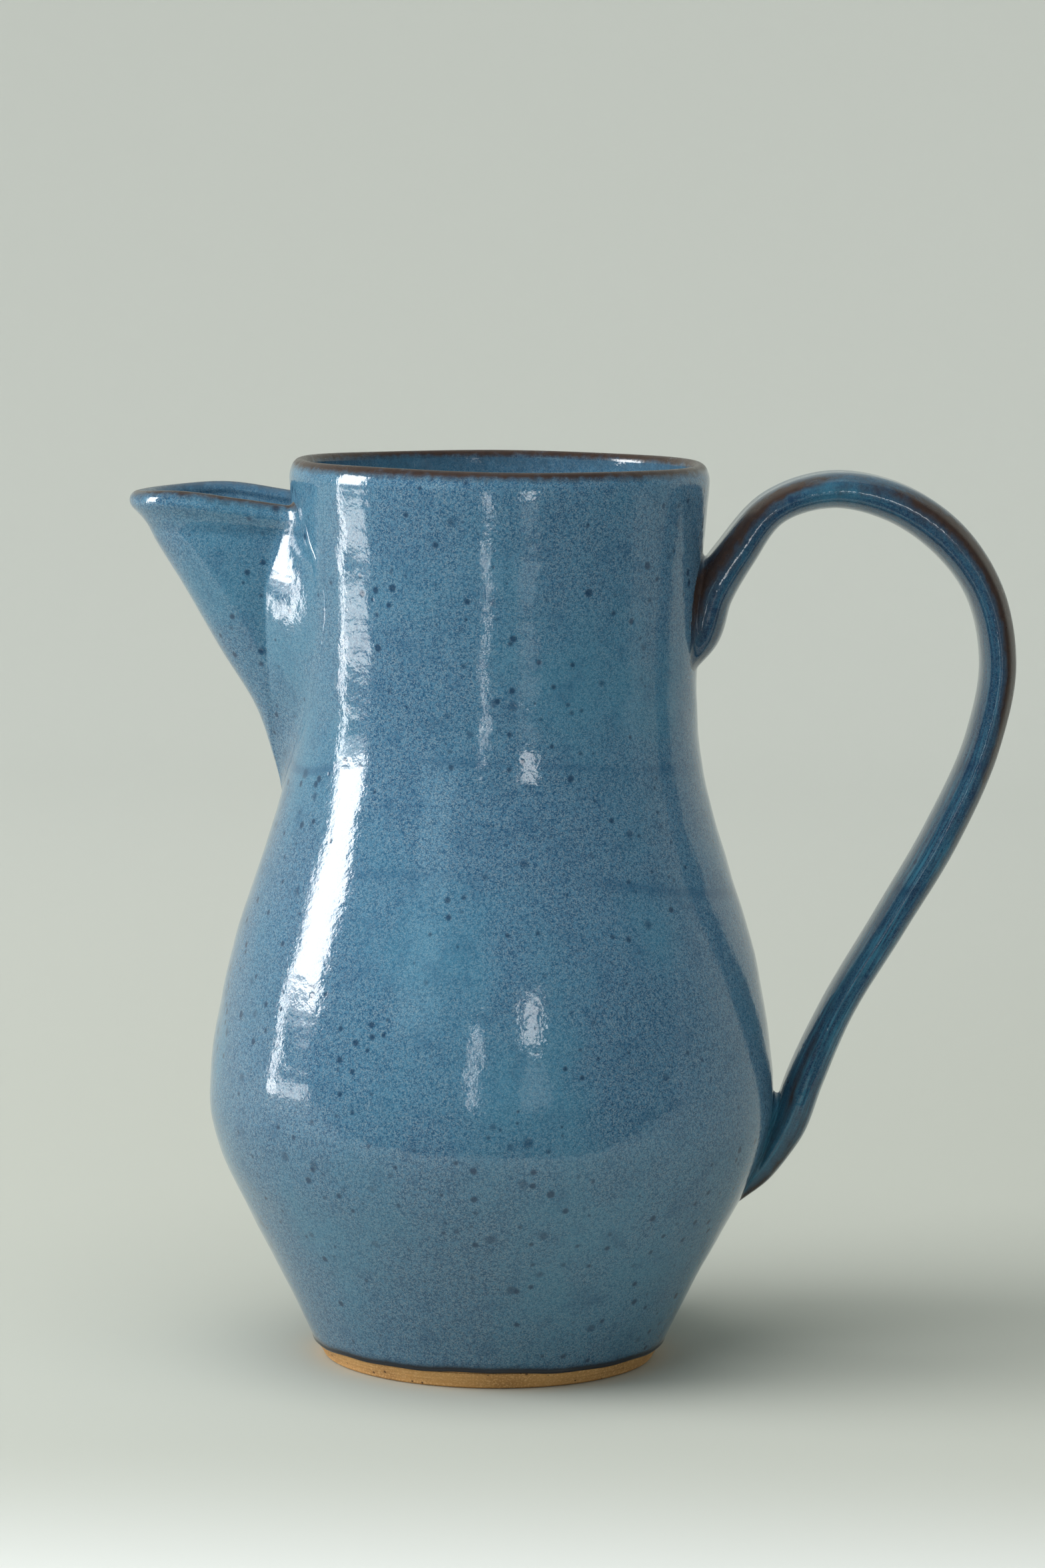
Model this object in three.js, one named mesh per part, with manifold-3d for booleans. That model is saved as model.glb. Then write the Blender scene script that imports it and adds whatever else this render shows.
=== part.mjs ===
// A wheel-thrown stoneware pitcher: a round-bellied body with an intact rim, an open spout luted
// to the neck just under that rim, and a strap handle luted on opposite it.
// Millimetres. The origin is the centre of the flat foot, +Z is up, the handle is at +X.
import * as THREE from "three";
import { ParametricGeometry } from "three/addons/geometries/ParametricGeometry.js";
import { mergeVertices } from "three/addons/utils/BufferGeometryUtils.js";
import Module from "manifold-3d";

const wasm = await Module();
wasm.setup();

// Driving dimensions.
const GAP = 0.3; // left between two pieces that touch
const HEIGHT = 240;
const LIP_RADIUS = 2.2;
const LIP_CENTRE_RADIUS = 53;
const WALL_AT_NECK = 4.6;
const WALL_AT_FOOT = 7.5;
const FLOOR_THICKNESS = 8;
const FOOT_HEIGHT = 3.8;
const FOOT_RADIUS = 44.6;
const FOOT_TOP_RADIUS = 47;
const FOOT_EDGE = 0.8; // the bevel round the underside
const BODY_STEPS_ROUND = 60;

// The outside of the body, foot to lip: [radius, height].
const BODY_OUTLINE = [
  [47.2, FOOT_HEIGHT + GAP],
  [51, 12],
  [59, 28],
  [67.4, 44],
  [74, 60],
  [75.5, 76],
  [70.2, 108],
  [60.2, 140],
  [55, 160],
  [53.3, 180],
  [54.4, 215],
  [55.7, 232],
];

// The spout, in its own frame: it points along -X and is turned SPOUT_TURN about the axis.
const SPOUT_TURN = THREE.MathUtils.degToRad(-12);
const SPOUT_BOTTOM = 152;
const SPOUT_RIM = 229;
const SPOUT_WALL = 5;
const SPOUT_FLANK_WALL = 4.4;
const SPOUT_LIP_CREST = 0.9; // how far the lip's middle line stands above its edges
const SPOUT_LEVELS = 16;
const SPOUT_STEPS = 20;
// How far its keel stands from the body's axis: [height, distance].
const SPOUT_KEEL = [
  [SPOUT_BOTTOM, 58.3],
  [161, 61],
  [172, 64.8],
  [188, 75],
  [205, 85.2],
  [218, 93.7],
  [225, 98],
  [SPOUT_RIM, 99.7],
];
// Half its width where it meets the body: [height, half width].
const SPOUT_HALF_WIDTH = [
  [SPOUT_BOTTOM, 5],
  [161, 11],
  [172, 15.5],
  [188, 19],
  [205, 21.5],
  [SPOUT_RIM, 22.4],
];
// The rim is a little uneven: [share of the way from tip to body, height above SPOUT_RIM].
const SPOUT_RIM_WAVE = [
  [0, 0.8],
  [0.35, 1.9],
  [0.7, 0.2],
  [1, -1.6],
];

// The opening through the body's wall behind the spout.
const OPENING_BOTTOM = 166;
const OPENING_SHOULDER = 206;
const OPENING_TOP = 221;
const OPENING_HALF_WIDTH = 14.5;

// The strap handle's centre line, root to tail, and the strap's size along it:
// [x, z, width, thickness].
const STRAP = [
  [49.6, 187, 24, 7],
  [52.9, 194.2, 29, 11.6],
  [56.2, 205.6, 30, 12.2],
  [62.6, 216.2, 28.5, 11.2],
  [72, 228, 27, 9.6],
  [87, 233.3, 27, 10],
  [103, 230.8, 27, 10.9],
  [117.6, 222, 27, 11.2],
  [128, 208.5, 26.5, 10.2],
  [132.8, 188, 26, 9.6],
  [129.5, 167.5, 25.5, 9.4],
  [119, 142, 25, 9.8],
  [105.5, 118, 24, 9.3],
  [91.5, 93.5, 23, 9],
  [84, 76, 22.5, 10],
  [79, 62, 21, 9.8],
  [72.8, 51.5, 17, 7.6],
  [65, 43.5, 11, 5],
];
const STRAP_STATIONS = 60;
const STRAP_SIDES = 16;
const STRAP_SQUARENESS = 2.7; // 2 is an ellipse
const SEAM_AT_ROOT = 5;
const SEAM_AT_TAIL = 4;
const SEAM_AT_SPOUT_RIM = 3;
const SEAM_AT_SPOUT_KEEL = 6;

// A smooth line through [input, value] pairs, as a function.
function smoothLine(pairs) {
  const curve = new THREE.SplineCurve(pairs.map(([input, value]) => new THREE.Vector2(input, value)));
  const last = pairs.length - 1;
  return (input) => {
    const wanted = THREE.MathUtils.clamp(input, pairs[0][0], pairs[last][0]);
    let low = 0;
    let high = 1;
    for (let halving = 0; halving < 30; halving += 1) {
      const middle = (low + high) / 2;
      if (curve.getPoint(middle).x < wanted) low = middle;
      else high = middle;
    }
    return curve.getPoint(low).y;
  };
}

const bodyRadius = smoothLine(BODY_OUTLINE.map(([radius, height]) => [height, radius]));
const keelReach = smoothLine(SPOUT_KEEL);
const spoutHalfWidth = smoothLine(SPOUT_HALF_WIDTH);
const rimWave = smoothLine(SPOUT_RIM_WAVE);

// A closed geometry as a solid with its faces pointing out.
function solidOf(geometry) {
  const bare = new THREE.BufferGeometry();
  bare.setAttribute("position", geometry.getAttribute("position"));
  bare.setIndex(geometry.index);
  const merged = mergeVertices(bare, 1e-3);
  const corners = merged.index.array;
  const triVerts = [];
  for (let at = 0; at < corners.length; at += 3) {
    const [a, b, c] = corners.slice(at, at + 3);
    if (a !== b && b !== c && c !== a) triVerts.push(a, b, c);
  }
  const build = (triangles) =>
    new wasm.Manifold(
      new wasm.Mesh({
        numProp: 3,
        vertProperties: merged.attributes.position.array,
        triVerts: new Uint32Array(triangles),
      }),
    );
  const solid = build(triVerts);
  return solid.volume() > 0 ? solid : build(triVerts.reverse());
}

function geometryOf(solid) {
  const mesh = solid.getMesh();
  const geometry = new THREE.BufferGeometry();
  geometry.setAttribute("position", new THREE.Float32BufferAttribute(mesh.vertProperties, 3));
  geometry.setIndex(Array.from(mesh.triVerts));
  geometry.computeVertexNormals();
  return geometry;
}

function makeMesh(name, solid, material) {
  const mesh = new THREE.Mesh(geometryOf(solid), material);
  mesh.name = name;
  return mesh;
}

// A section flattened on to its own middle line, which pairs its first point with its last.
function folded(section, rise) {
  return section.map((point, index) => {
    const opposite = section[section.length - 1 - index];
    const middle = point.clone().lerp(opposite, 0.5);
    middle.z += rise;
    return middle;
  });
}

// A skin stretched over sections, each a ring of points. An open run is folded shut at both ends.
function loft(sections, isLoop) {
  const sides = sections[0].length;
  const run = isLoop
    ? [...sections, sections[0]]
    : [folded(sections[0], 0), ...sections, folded(sections[sections.length - 1], 0)];
  const pointAt = (u, v, target) => {
    const section = run[Math.round(v * (run.length - 1))];
    target.copy(section[Math.round(u * sides) % sides]);
  };
  return new ParametricGeometry(pointAt, sides, run.length - 1);
}

// A solid turned about the pitcher's axis from [radius, height] points.
function turned(points, stepsRound) {
  const profile = points.map(([radius, height]) => new THREE.Vector2(radius, height));
  return solidOf(new THREE.LatheGeometry(profile, stepsRound).rotateX(Math.PI / 2));
}

// The body's outer outline, moved out by grow.
function outerOutline(grow, steps) {
  const [, low] = BODY_OUTLINE[0];
  const [, high] = BODY_OUTLINE[BODY_OUTLINE.length - 1];
  return Array.from({ length: steps + 1 }, (_, step) => {
    const height = low + ((high - low) * step) / steps;
    return [bodyRadius(height) + grow, height];
  });
}

// A plain solid a little larger than the body, which trims what is luted to it.
function bodyTrimmer() {
  const [, low] = BODY_OUTLINE[0];
  const outline = outerOutline(GAP, 48);
  return turned([[0, low], ...outline, [LIP_CENTRE_RADIUS, HEIGHT], [0, HEIGHT]], 2 * BODY_STEPS_ROUND);
}

function pourOpening() {
  const outline = new THREE.Shape();
  outline.moveTo(0, OPENING_BOTTOM);
  outline.bezierCurveTo(
    OPENING_HALF_WIDTH * 0.7,
    OPENING_BOTTOM,
    OPENING_HALF_WIDTH,
    OPENING_SHOULDER - 15,
    OPENING_HALF_WIDTH,
    OPENING_SHOULDER,
  );
  outline.bezierCurveTo(
    OPENING_HALF_WIDTH,
    OPENING_TOP - 4,
    OPENING_HALF_WIDTH * 0.6,
    OPENING_TOP,
    0,
    OPENING_TOP,
  );
  outline.bezierCurveTo(
    -OPENING_HALF_WIDTH * 0.6,
    OPENING_TOP,
    -OPENING_HALF_WIDTH,
    OPENING_TOP - 4,
    -OPENING_HALF_WIDTH,
    OPENING_SHOULDER,
  );
  outline.bezierCurveTo(
    -OPENING_HALF_WIDTH,
    OPENING_SHOULDER - 15,
    -OPENING_HALF_WIDTH * 0.7,
    OPENING_BOTTOM,
    0,
    OPENING_BOTTOM,
  );
  const through = new THREE.ExtrudeGeometry(outline, { depth: 40, bevelEnabled: false, curveSegments: 7 });
  through.rotateX(Math.PI / 2).rotateZ(-Math.PI / 2).translate(-30, 0, 0).rotateZ(SPOUT_TURN);
  return solidOf(through);
}

function thrownBody() {
  const floorTop = FOOT_HEIGHT + GAP + FLOOR_THICKNESS;
  const lipHeight = HEIGHT - LIP_RADIUS;
  const outer = outerOutline(0, 22);
  const lip = Array.from({ length: 7 }, (_, step) => {
    const turn = (Math.PI * step) / 6;
    return [LIP_CENTRE_RADIUS + LIP_RADIUS * Math.cos(turn), lipHeight + LIP_RADIUS * Math.sin(turn)];
  });
  const innerSteps = 15;
  const inner = Array.from({ length: innerSteps }, (_, step) => {
    const height = THREE.MathUtils.lerp(lipHeight - 6, floorTop + 5, step / (innerSteps - 1));
    const wall = THREE.MathUtils.lerp(WALL_AT_FOOT, WALL_AT_NECK, Math.min(height / 110, 1));
    return [bodyRadius(height) - wall, height];
  });
  const [cornerRadius] = inner[innerSteps - 1];
  const floor = [
    [cornerRadius - 5, floorTop + 1],
    [cornerRadius - 12, floorTop],
    [0, floorTop],
  ];
  const [, low] = BODY_OUTLINE[0];
  return turned([[0, low], ...outer, ...lip, ...inner, ...floor], BODY_STEPS_ROUND).subtract(pourOpening());
}

function turnedFoot() {
  const profile = [
    [0, 0],
    [FOOT_RADIUS - FOOT_EDGE, 0],
    [FOOT_RADIUS, FOOT_EDGE],
    [FOOT_TOP_RADIUS, FOOT_HEIGHT],
    [0, FOOT_HEIGHT],
  ];
  return turned(profile, BODY_STEPS_ROUND);
}

// A blunt U in plan, from one side of the wall (side -1) round the tip (0) to the other (1).
// level is 0 at the spout's bottom and 1 at its rim.
function spoutPlanPoint(level, side, reach, halfWidth) {
  const nominal = THREE.MathUtils.lerp(SPOUT_BOTTOM, SPOUT_RIM, level);
  const turn = (Math.abs(side) * Math.PI) / 2;
  const power = 2 / THREE.MathUtils.lerp(2, 3, level);
  const bulge = 1 + 0.3 * level * Math.sin(2 * turn);
  const inward = 1 - Math.cos(turn) ** power;
  const height = nominal + rimWave(inward) * level;
  const wallRadius = bodyRadius(height) + GAP;
  const y = Math.sign(side) * halfWidth * Math.sin(turn) ** power * bulge;
  const wallX = Math.sqrt(wallRadius ** 2 - halfWidth ** 2);
  const x = THREE.MathUtils.lerp(reach, wallX, inward);
  const clearOfWall = Math.sqrt(Math.max(wallRadius ** 2 - y ** 2, 0));
  return new THREE.Vector3(-Math.max(x, clearOfWall), y, height);
}

// The lip of the spout is a rolled bead: it swells a little below the rim and closes at the top.
function beadAt(level) {
  const swell = 0.8 * Math.exp(-(((level - 0.955) / 0.03) ** 2));
  const closing = level > 0.985 ? 1.3 : 0;
  return swell - closing;
}

function spoutOuterPoint(level, side, grow = 0) {
  const nominal = THREE.MathUtils.lerp(SPOUT_BOTTOM, SPOUT_RIM, level);
  const bead = beadAt(level) + grow;
  return spoutPlanPoint(level, side, keelReach(nominal) + bead, spoutHalfWidth(nominal) + bead);
}

function spoutInnerPoint(level, side) {
  const nominal = THREE.MathUtils.lerp(SPOUT_BOTTOM, SPOUT_RIM, level);
  const bead = Math.min(beadAt(level), 0);
  const halfWidth = spoutHalfWidth(nominal);
  const innerHalfWidth = Math.max(halfWidth - SPOUT_FLANK_WALL, 0.6 * halfWidth);
  return spoutPlanPoint(level, side, keelReach(nominal) - SPOUT_WALL - bead, innerHalfWidth - bead);
}

function spoutLevels() {
  const even = Array.from({ length: SPOUT_LEVELS }, (_, step) => (0.93 * step) / (SPOUT_LEVELS - 1));
  return [...even, 0.955, 0.985, 1];
}

function spout(grow) {
  const sides = Array.from({ length: SPOUT_STEPS + 1 }, (_, step) => (2 * step) / SPOUT_STEPS - 1);
  const sections = spoutLevels().map((level) => [
    ...sides.map((side) => spoutOuterPoint(level, side, grow)),
    ...sides.map((side) => spoutInnerPoint(level, -side)),
  ]);
  const crest = folded(sections[sections.length - 1], SPOUT_LIP_CREST);
  return solidOf(loft([...sections, crest], false));
}

const strapCurve = new THREE.CatmullRomCurve3(
  STRAP.map(([x, z]) => new THREE.Vector3(x, 0, z)),
  false,
  "centripetal",
);

// The strap's surface: along is 0 at the root and 1 at the tail, round goes once about the strap,
// starting at its outer face, and grow thickens it.
function strapPoint(along, round, grow = 0) {
  const centre = strapCurve.getPoint(along);
  const tangent = strapCurve.getTangent(along);
  const outward = new THREE.Vector3(-tangent.z, 0, tangent.x);
  const place = along * (STRAP.length - 1);
  const index = Math.min(Math.floor(place), STRAP.length - 2);
  const share = THREE.MathUtils.smoothstep(place - index, 0, 1);
  const width = THREE.MathUtils.lerp(STRAP[index][2], STRAP[index + 1][2], share);
  const thickness = THREE.MathUtils.lerp(STRAP[index][3], STRAP[index + 1][3], share);
  const power = 2 / STRAP_SQUARENESS;
  const turn = round * 2 * Math.PI;
  const swell = (value) => Math.sign(value) * Math.abs(value) ** power;
  centre.addScaledVector(outward, (thickness / 2 + grow) * swell(Math.cos(turn)));
  centre.y += (width / 2 + grow) * swell(Math.sin(turn));
  return centre;
}

function strap(grow) {
  const sections = Array.from({ length: STRAP_STATIONS + 1 }, (_, station) =>
    Array.from({ length: STRAP_SIDES }, (__, side) =>
      strapPoint(station / STRAP_STATIONS, side / STRAP_SIDES, grow),
    ),
  );
  return solidOf(loft(sections, false));
}

function handle() {
  return strap(0).subtract(bodyTrimmer());
}

function wallNormal(point) {
  const slope = bodyRadius(point.z + 0.5) - bodyRadius(point.z - 0.5);
  const radial = new THREE.Vector3(point.x, point.y, 0).normalize();
  return radial.sub(new THREE.Vector3(0, 0, slope)).normalize();
}

// One section of a smeared seam of wet clay: a hollow-faced wedge in the corner between a piece and
// the wall. onPiece and onWall are unit directions out of the corner.
function seamSection(corner, onPiece, onWall, size) {
  const bisector = onPiece.clone().add(onWall).normalize();
  const halfAngle = onPiece.angleTo(onWall) / 2;
  const clear = Math.min(GAP / Math.sin(halfAngle), 0.45 * size);
  const hollow = Math.max(0.72 * size * Math.cos(halfAngle), clear + 0.25);
  const offPiece = onWall.clone().projectOnPlane(onPiece).normalize();
  const offWall = wallNormal(corner);
  return [
    corner.clone().addScaledVector(bisector, clear),
    corner.clone().addScaledVector(onWall, size).addScaledVector(offWall, 0.1),
    corner.clone().addScaledVector(bisector, hollow),
    corner.clone().addScaledVector(onPiece, size).addScaledVector(offPiece, GAP),
  ];
}

// The seam round one end of the handle. outside is a place on the strap clear of the body, inside
// is the end that is buried in it.
function handleSeam(outside, inside, size) {
  const isBuried = (point) => Math.hypot(point.x, point.y) < bodyRadius(point.z) + GAP;
  const loops = 28;
  const sections = Array.from({ length: loops }, (_, step) => {
    const round = step / loops;
    const scans = 200;
    let scan = 0;
    while (scan < scans && !isBuried(strapPoint(THREE.MathUtils.lerp(outside, inside, scan / scans), round))) {
      scan += 1;
    }
    const along = THREE.MathUtils.lerp(outside, inside, (scan - 0.5) / scans);
    const corner = strapPoint(along, round);
    const away = strapPoint(THREE.MathUtils.lerp(along, outside, 0.08), round);
    const onPiece = away.sub(corner).normalize();
    const heart = strapCurve.getPoint(along);
    const offStrap = corner.clone().sub(heart).projectOnPlane(onPiece).normalize();
    const onWall = offStrap.projectOnPlane(wallNormal(corner)).normalize();
    return seamSection(corner, onPiece, onWall, size);
  });
  return solidOf(loft(sections, true)).subtract(bodyTrimmer()).subtract(strap(GAP));
}

// The seam that runs down one side of the spout, under its keel and up the other side.
function spoutSeam() {
  const stationAt = (level, side, size) => {
    const corner = spoutOuterPoint(level, side);
    const next = spoutOuterPoint(level, side * 0.8);
    const wallRadius = bodyRadius(corner.z) + GAP;
    corner.x = -Math.sqrt(wallRadius ** 2 - corner.y ** 2);
    const onPiece = next.sub(corner).normalize();
    const outward = new THREE.Vector3(0, Math.sign(side), -0.35);
    const onWall = outward.projectOnPlane(wallNormal(corner)).normalize();
    return seamSection(corner, onPiece, onWall, size);
  };
  const keelStation = (side) => {
    const corner = spoutOuterPoint(0, side);
    const wallRadius = bodyRadius(corner.z - 1) + GAP;
    corner.z -= 1;
    corner.x = -Math.sqrt(wallRadius ** 2 - corner.y ** 2);
    const onPiece = spoutOuterPoint(0.12, side).sub(corner).normalize();
    const onWall = new THREE.Vector3(0, side, -1).projectOnPlane(wallNormal(corner)).normalize();
    return seamSection(corner, onPiece, onWall, SEAM_AT_SPOUT_KEEL * 0.6);
  };
  const down = Array.from({ length: 14 }, (_, step) => 0.965 - (0.9 * step) / 13);
  const sizeAt = (level) => THREE.MathUtils.lerp(SEAM_AT_SPOUT_KEEL, SEAM_AT_SPOUT_RIM, level);
  const sections = [
    ...down.map((level) => stationAt(level, -1, sizeAt(level))),
    ...[-0.75, -0.4, 0, 0.4, 0.75].map(keelStation),
    ...down.toReversed().map((level) => stationAt(level, 1, sizeAt(level))),
  ];
  return solidOf(loft(sections, false)).subtract(bodyTrimmer()).subtract(spout(GAP));
}

const glaze = new THREE.MeshStandardMaterial({ color: 0x6f93a6, roughness: 0.12, metalness: 0 });
const spoutGlaze = new THREE.MeshStandardMaterial({ color: 0x5d84a0, roughness: 0.12, metalness: 0 });
const handleGlaze = new THREE.MeshStandardMaterial({ color: 0x4d6b78, roughness: 0.15, metalness: 0 });
const bareClay = new THREE.MeshStandardMaterial({ color: 0x8c6b45, roughness: 0.85, metalness: 0 });

const spoutGroup = new THREE.Group();
spoutGroup.rotation.z = SPOUT_TURN;
spoutGroup.add(makeMesh("spout", spout(0), spoutGlaze));
spoutGroup.add(makeMesh("spout_seam", spoutSeam(), spoutGlaze));

const pitcher = new THREE.Group();
pitcher.add(makeMesh("thrown_body", thrownBody(), glaze));
pitcher.add(makeMesh("turned_foot", turnedFoot(), bareClay));
pitcher.add(makeMesh("handle", handle(), handleGlaze));
pitcher.add(makeMesh("handle_upper_seam", handleSeam(0.25, 0.01, SEAM_AT_ROOT), handleGlaze));
pitcher.add(makeMesh("handle_lower_seam", handleSeam(0.76, 0.995, SEAM_AT_TAIL), handleGlaze));
pitcher.add(spoutGroup);

export default pitcher;
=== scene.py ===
"""Looks for the hand-thrown stoneware pitcher: fine meshes, floating-blue glaze, bare clay and a soft studio.

Shapes are worked out in millimetres in the CAD frame and turned into metres as each mesh is made.
The body's outline is read off the CAD body; the spout and the handle repeat its driving dimensions.
"""

import math

import bmesh
import bpy
import numpy as np
from mathutils import Matrix, Vector
from mathutils.bvhtree import BVHTree


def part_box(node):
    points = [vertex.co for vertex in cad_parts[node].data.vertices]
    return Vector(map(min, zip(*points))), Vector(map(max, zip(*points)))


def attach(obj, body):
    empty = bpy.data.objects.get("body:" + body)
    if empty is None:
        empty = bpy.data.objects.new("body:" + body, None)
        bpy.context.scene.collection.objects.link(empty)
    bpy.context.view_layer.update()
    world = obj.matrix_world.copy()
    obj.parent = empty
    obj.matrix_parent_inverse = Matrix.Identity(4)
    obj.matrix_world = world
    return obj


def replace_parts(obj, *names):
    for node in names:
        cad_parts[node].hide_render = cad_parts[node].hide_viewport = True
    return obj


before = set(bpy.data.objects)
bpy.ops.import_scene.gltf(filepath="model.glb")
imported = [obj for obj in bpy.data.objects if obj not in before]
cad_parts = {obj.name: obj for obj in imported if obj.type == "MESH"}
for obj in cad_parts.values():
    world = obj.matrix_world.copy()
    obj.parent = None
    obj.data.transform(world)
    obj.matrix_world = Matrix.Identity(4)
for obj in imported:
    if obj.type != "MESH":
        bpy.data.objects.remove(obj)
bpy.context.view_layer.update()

MM = 0.001
BODY = "root"

# The thrown body.
NECK_TOP = 232.0  # where the lip's roll starts
OUTLINE_ROWS = 23
LIP_RADIUS = 2.2
LIP_OUTER = 55.5
LIP_CREST = 52.7
LIP_INNER = 50.9
LIP_SHOULDER = 235.0  # where its roll turns over
LIP_BREAK = 3.5  # how far below the top the glaze begins to break brown
LIP_BREAK_FADE = 2.5
WALL_AT_NECK = 4.6
WALL_AT_FOOT = 7.5
FLOOR_TOP = 12.1
FLOOR_CORNER = 6.0  # the hollow corner between floor and wall
BODY_COLUMNS = 320
BODY_ROWS = 190
INNER_ROWS = 150
FLOOR_ROWS = 26
GLAZE_ROLL = 1.3  # how tall the rounded end of the glaze is above the bare foot
POOL_DEPTH = 5.0  # how far up the dark line of pooled glaze fades out

# The spout, in its own frame: it points along -X and is turned about the pitcher's axis.
SPOUT_TURN = math.radians(-12)
SPOUT_BOTTOM = 152.0
SPOUT_RIM = 229.0
SPOUT_WALL = 5.0
SPOUT_FLANK_WALL = 4.4
SPOUT_KEEL = [(145, 57.6), (149, 58), (152, 58.6), (161, 61), (172, 64.8), (188, 75), (205, 85.2),
              (218, 93.7), (225, 97.9), (229, 99.5)]
SPOUT_HALF_WIDTH = [(145, 3), (152, 5.5), (161, 11), (172, 15.5), (188, 19), (205, 21.5), (229, 22.4)]
SPOUT_RIM_WAVE = [(0, 0.8), (0.35, 1.9), (0.7, 0.2), (1, -1.6)]
LIP_HALF_THICKNESS = 2.3
JOINT_ON_FLANK = [(-0.1, 7), (0.25, 8), (0.45, 8.5), (0.78, 8), (0.92, 5), (0.98, 4)]
JOINT_ON_WALL = [(-0.1, 8), (0.25, 12), (0.45, 16.5), (0.78, 16.5), (0.92, 9), (0.98, 5)]
JOINT_PULL = [(0, 0.66), (0.25, 0.6), (0.42, 0.36), (0.8, 0.36), (0.95, 0.6)]
JOINT_SMEAR = [(0, 0), (0.2, 0.5), (0.45, 0.9), (0.65, 0.7), (0.85, 0), (1, 0)]

# The opening through the neck behind the spout.
OPENING_BOTTOM = 166.0
OPENING_SHOULDER = 206.0
OPENING_TOP = 221.0
OPENING_HALF_WIDTH = 14.5
OPENING_EDGE = 1.4  # the rounding of its edges, inside and out

# The bare foot.
FOOT_RADIUS = 44.6  # where it stands
FOOT_BEVEL = 1.0
CLAY_UNDER_GLAZE = 0.62  # how far inside the glaze the clay carries on up

# The strap handle, root to tail: x, z, width, thickness.
STRAP = np.array([
    (49.6, 187, 24, 7), (52.9, 194.2, 29, 11.6), (56.2, 205.6, 30, 12.2), (62.6, 216.2, 28.5, 11.2),
    (72, 228, 27, 9.6),
    (87, 233.3, 27, 10), (103, 230.8, 27, 10.9), (117.6, 222, 27, 11.2), (128, 208.5, 26.5, 10.2),
    (132.8, 188, 26, 9.6), (129.5, 167.5, 25.5, 9.4), (119, 142, 25, 9.8), (105.5, 118, 24, 9.3),
    (91.5, 93.5, 23, 9), (84, 76, 22.5, 10), (79, 62, 21, 9.8), (72.8, 51.5, 17, 7.6), (65, 43.5, 11, 5),
], float)
STRAP_SQUARENESS = 2.35
STRAP_STEPS = np.linalg.norm(np.diff(STRAP[:, :2], axis=0), axis=1)
STRAP_LENGTH = STRAP_STEPS.sum()
GIRTH_SCALE = 11.0  # mm round the strap for each radian of turn
HALF_GIRTH = 33.0
EDGE_WEAR_ALONG = [(0, 0.95), (0.07, 1.15), (0.12, 1.0), (0.17, 0.4), (0.22, 0.75), (0.28, 1.2), (0.44, 1.25),
                   (0.54, 0.7), (0.65, 0.35), (0.9, 0.4), (0.96, 0.8), (1, 0.9)]
INNER_WEAR_ALONG = [(0, 0.5), (0.1, 0.3), (0.4, 0.25), (0.85, 0.3), (0.93, 0.75), (0.97, 0.4), (1, 0.5)]
STRAP_FIBRES = 96
STRAP_ROWS = 260
THUMB_PRESSES = [  # x, y, z, radius, depth
    (79, -9.5, 57, 3.6, 0.7), (77, -8.5, 51.5, 3.0, 0.55), (82, -10.5, 63, 3.2, 0.35),
    (80, 1, 54, 5.5, 0.7), (79, 9.5, 56, 3.6, 0.6),
]


def smooth_line(points):
    """A smooth function through (input, value) points, level beyond its ends."""
    xs, ys = (np.array(column, float) for column in zip(*points))
    slopes = np.gradient(ys, xs)

    def line(x):
        x = np.clip(np.asarray(x, float), xs[0], xs[-1])
        index = np.clip(np.searchsorted(xs, x, side="right") - 1, 0, len(xs) - 2)
        step = xs[index + 1] - xs[index]
        t = (x - xs[index]) / step
        ease = t * t * (3 - 2 * t)
        swing = slopes[index] * t * (1 - t) ** 2 - slopes[index + 1] * t * t * (1 - t)
        return ys[index] + (ys[index + 1] - ys[index]) * ease + step * swing

    return line


def body_outline():
    """The body's outer radius as a function of height, read off the CAD body from the front."""
    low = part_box("thrown_body")[0].z / MM
    tree = BVHTree.FromObject(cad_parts["thrown_body"], bpy.context.evaluated_depsgraph_get())
    points = []
    for height in np.linspace(low, NECK_TOP, OUTLINE_ROWS):
        inside_piece = min(max(height, low + 0.05), NECK_TOP)
        hit = tree.ray_cast(Vector((0, -1, inside_piece * MM)), Vector((0, 1, 0)))[0]
        points.append((height, -hit.y / MM))
    return smooth_line(points), low


body_radius, BODY_LOW = body_outline()
BODY_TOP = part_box("thrown_body")[1].z / MM
edge_wear = smooth_line(EDGE_WEAR_ALONG)
inner_wear = smooth_line(INNER_WEAR_ALONG)
keel_reach = smooth_line(SPOUT_KEEL)
spout_half_width = smooth_line(SPOUT_HALF_WIDTH)
rim_wave = smooth_line(SPOUT_RIM_WAVE)


def throwing_rings(angle, height):
    """The faint spiral that a thrower's fingers leave, and the pot's slight wobble."""
    spiral = np.sin(2 * np.pi * height / 14.5 + angle + 1.3 * np.sin(height / 23))
    fine = np.sin(2 * np.pi * height / 4.7 + angle + 1.5 * np.sin(height / 17 + 2 * angle))
    swell = np.sin(height / 6.8 + 2.3 * np.sin(1.5 * height / 31 + angle))
    wobble = np.sin(2 * angle + height / 60)
    facets = np.sin(14 * angle + 2.2 * np.sin(height / 7) + height / 11)
    return 0.035 * spiral + 0.011 * fine + 0.06 * swell + 0.045 * facets + 0.08 * wobble - 0.29


def wall_radius(angle, height):
    """The glazed outside of the body, in every direction."""
    return body_radius(height) + throwing_rings(angle, height)


def on_wall(points, sink=0.0):
    """Points moved straight in or out on to the body's outside, sink below it."""
    angle = np.arctan2(points[..., 1], points[..., 0])
    radius = wall_radius(angle, points[..., 2]) - sink
    return np.stack([radius * np.cos(angle), radius * np.sin(angle), points[..., 2]], -1)


def unit(vectors):
    return vectors / np.maximum(np.linalg.norm(vectors, axis=-1, keepdims=True), 1e-9)


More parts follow.
